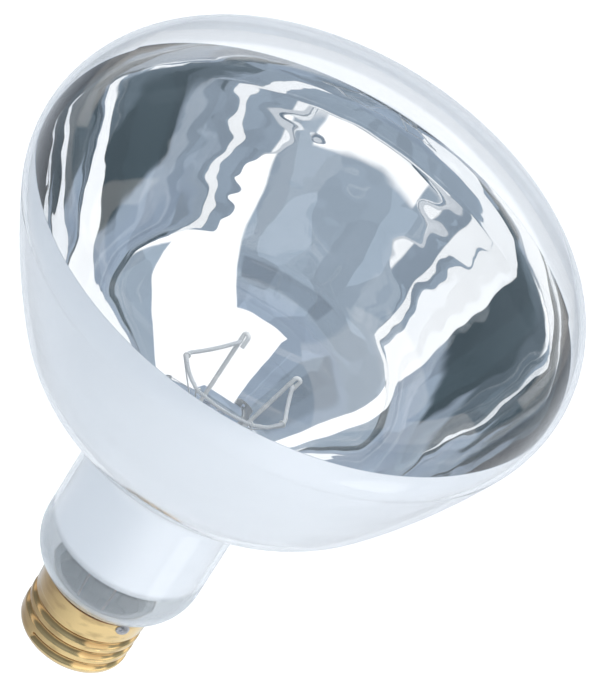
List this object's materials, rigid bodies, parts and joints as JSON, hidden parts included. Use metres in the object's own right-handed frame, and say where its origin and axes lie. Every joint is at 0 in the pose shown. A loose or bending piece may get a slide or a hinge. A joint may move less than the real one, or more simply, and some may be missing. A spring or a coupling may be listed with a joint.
{
  "type": "incandescent reflector bulb",
  "caption": "Clear-faced reflector lamp with a mirrored flared bowl, an open filament loop and a brass screw base.",
  "frame": {"origin": "middle of the solder on the centre contact, the bulb's lowest point", "axes": "+Z along the bulb's axis from the base to the face, -Y towards the side that the picture shows, +X to its right"},
  "size_m": [0.127, 0.127, 0.1629],
  "materials": {
    "clear_glass": "clear blown glass",
    "mirror": "bright aluminium mirror laid on glass",
    "brass": "rolled brass, bright",
    "black_glass": "black moulded glass",
    "solder": "dull soft solder",
    "cement": "baked basing cement",
    "aluminium_sheet": "bright thin sheet",
    "nickel_wire": "drawn nickel wire",
    "copper_wire": "copper wire",
    "tungsten": "coiled tungsten wire"
  },
  "bodies": {
    "root": {"glass_envelope": "clear_glass", "mirror_coating": "mirror", "screw_shell": "brass", "base_insulator": "black_glass", "centre_contact": "brass", "centre_solder": "solder", "side_solder": "solder", "basing_cement": "cement", "stem": "clear_glass", "exhaust_tube": "clear_glass", "support_cane": "clear_glass", "heat_deflector": "aluminium_sheet", "left_lead": "nickel_wire", "right_lead": "nickel_wire", "left_seal": "copper_wire", "right_seal": "copper_wire", "left_feed": "copper_wire", "right_feed": "copper_wire", "filament": "tungsten", "first_support": "nickel_wire", "second_support": "nickel_wire", "third_support": "nickel_wire", "fourth_support": "nickel_wire"}
  },
  "joints": []
}
